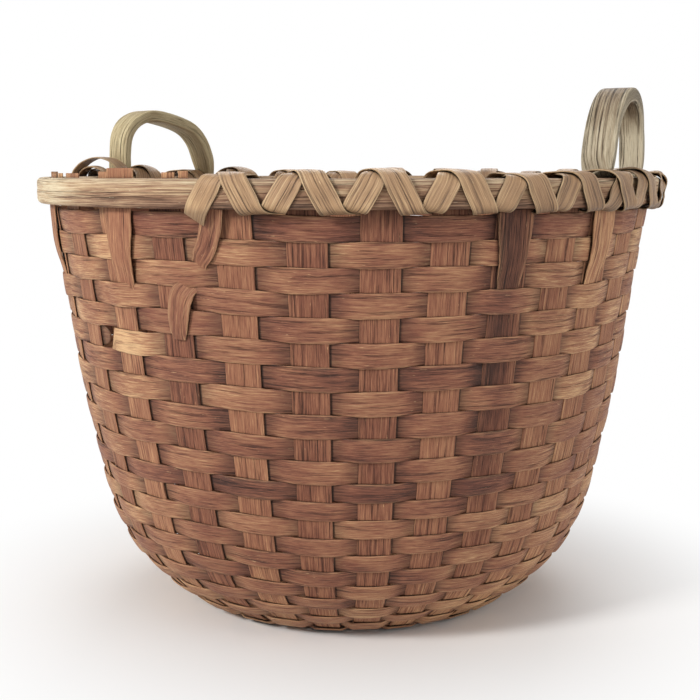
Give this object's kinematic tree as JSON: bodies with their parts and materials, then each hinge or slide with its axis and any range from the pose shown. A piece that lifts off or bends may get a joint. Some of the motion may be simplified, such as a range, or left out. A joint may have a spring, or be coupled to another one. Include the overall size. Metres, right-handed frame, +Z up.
{
  "type": "woven splint basket",
  "caption": "Deep round basket of flat woven wood splints with a lashed double rim and two bentwood ear handles.",
  "frame": {"origin": "on the floor under the middle of the basket", "axes": "+Z up; -Y is the front of the basket, where one run of the rim has lost its lashing towards -X; +X to the right of the front"},
  "size_m": [0.463, 0.4664, 0.3751],
  "materials": {
    "stake_splint": "aged ash splint, satin",
    "weaver_splint": "aged ash splint, satin",
    "rim_hoop": "shaved and bent ash, worn",
    "lashing_splint": "thin ash splint, satin",
    "bent_handle": "bent hickory or ash, greyed"
  },
  "bodies": {
    "root": {"splint_01": "stake_splint", "splint_02": "stake_splint", "splint_03": "stake_splint", "splint_04": "stake_splint", "splint_05": "stake_splint", "splint_06": "stake_splint", "splint_07": "stake_splint", "splint_08": "stake_splint", "splint_09": "stake_splint", "splint_10": "stake_splint", "splint_11": "stake_splint", "splint_12": "stake_splint", "splint_13": "stake_splint", "splint_14": "stake_splint", "splint_15": "stake_splint", "weaver_01": "weaver_splint", "weaver_02": "weaver_splint", "weaver_03": "weaver_splint", "weaver_04": "weaver_splint", "weaver_05": "weaver_splint", "weaver_06": "weaver_splint", "weaver_07": "weaver_splint", "weaver_08": "weaver_splint", "weaver_09": "weaver_splint", "weaver_10": "weaver_splint", "weaver_11": "weaver_splint", "weaver_12": "weaver_splint", "weaver_13": "weaver_splint", "weaver_14": "weaver_splint", "weaver_15": "weaver_splint", "weaver_16": "weaver_splint", "weaver_17": "weaver_splint", "weaver_18": "weaver_splint", "weaver_19": "weaver_splint", "weaver_20": "weaver_splint", "weaver_21": "weaver_splint", "weaver_22": "weaver_splint", "weaver_23": "weaver_splint", "weaver_24": "weaver_splint", "weaver_25": "weaver_splint", "weaver_26": "weaver_splint", "weaver_27": "weaver_splint", "outer_rim_hoop": "rim_hoop", "inner_rim_hoop": "rim_hoop", "lashing_over_1": "lashing_splint", "lashing_over_2": "lashing_splint", "lashing_over_3": "lashing_splint", "lashing_under_1": "lashing_splint", "lashing_under_2": "lashing_splint", "lashing_under_3": "lashing_splint", "handle_right": "bent_handle", "handle_left": "bent_handle"}
  },
  "joints": []
}
